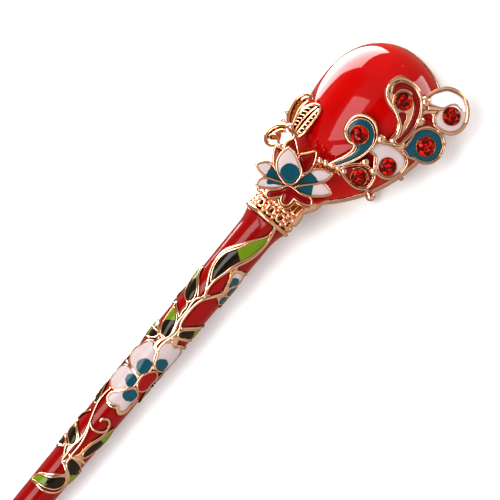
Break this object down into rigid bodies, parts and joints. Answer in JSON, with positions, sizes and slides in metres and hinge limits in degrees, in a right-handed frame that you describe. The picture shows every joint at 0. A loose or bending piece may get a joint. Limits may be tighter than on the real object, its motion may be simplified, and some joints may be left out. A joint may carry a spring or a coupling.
{
  "type": "hair stick",
  "caption": "Tapered red enamelled hair stick with raised gold vines, an egg-shaped red stone in a thin bezel, an enamel lotus, an openwork butterfly and a fan of stone-set curls.",
  "frame": {"origin": "on the flat back of the head, under the centre of the drop's round end", "axes": "+X from the stem's tip towards the head, +Y towards the butterfly, +Z out of the face of the drop"},
  "size_m": [0.1749, 0.0252, 0.0132],
  "materials": {
    "red_enamel": "smooth glossy red enamel over metal",
    "gold": "polished rose gold plating",
    "agate": "polished translucent red",
    "leaf_enamel": "glossy fired enamel, dark at the base and light green at the point",
    "petal_enamel": "glossy fired enamel, white with teal at the base",
    "teal_enamel": "glossy fired enamel",
    "white_enamel": "glossy fired enamel",
    "dark_red_enamel": "glossy fired enamel",
    "ruby_glass": "faceted, foiled behind"
  },
  "bodies": {
    "root": {"stem": "red_enamel", "vine": "gold", "collar": "gold", "bezel": "gold", "drop": "agate", "lotus_frame": "gold", "lotus_enamel": "petal_enamel", "fan_frame": "gold", "butterfly": "gold", "butterfly_stone": "ruby_glass", "big_flower": "petal_enamel", "small_flower": "petal_enamel", "back_flower": "petal_enamel", "leaf_1": "leaf_enamel", "leaf_2": "leaf_enamel", "leaf_3": "leaf_enamel", "leaf_4": "leaf_enamel", "leaf_5": "leaf_enamel", "leaf_6": "leaf_enamel", "leaf_7": "leaf_enamel", "leaf_8": "leaf_enamel", "leaf_9": "leaf_enamel", "leaf_10": "leaf_enamel", "leaf_11": "leaf_enamel", "leaf_12": "leaf_enamel", "leaf_13": "leaf_enamel", "leaf_14": "leaf_enamel", "leaf_15": "leaf_enamel", "leaf_16": "leaf_enamel", "feather_1": "teal_enamel", "feather_2": "dark_red_enamel", "feather_3": "white_enamel", "feather_4": "teal_enamel", "feather_5": "white_enamel", "feather_6": "dark_red_enamel", "rhinestone_1": "ruby_glass", "rhinestone_2": "ruby_glass", "rhinestone_3": "ruby_glass", "rhinestone_4": "ruby_glass", "rhinestone_5": "ruby_glass", "rhinestone_6": "ruby_glass"}
  },
  "joints": []
}
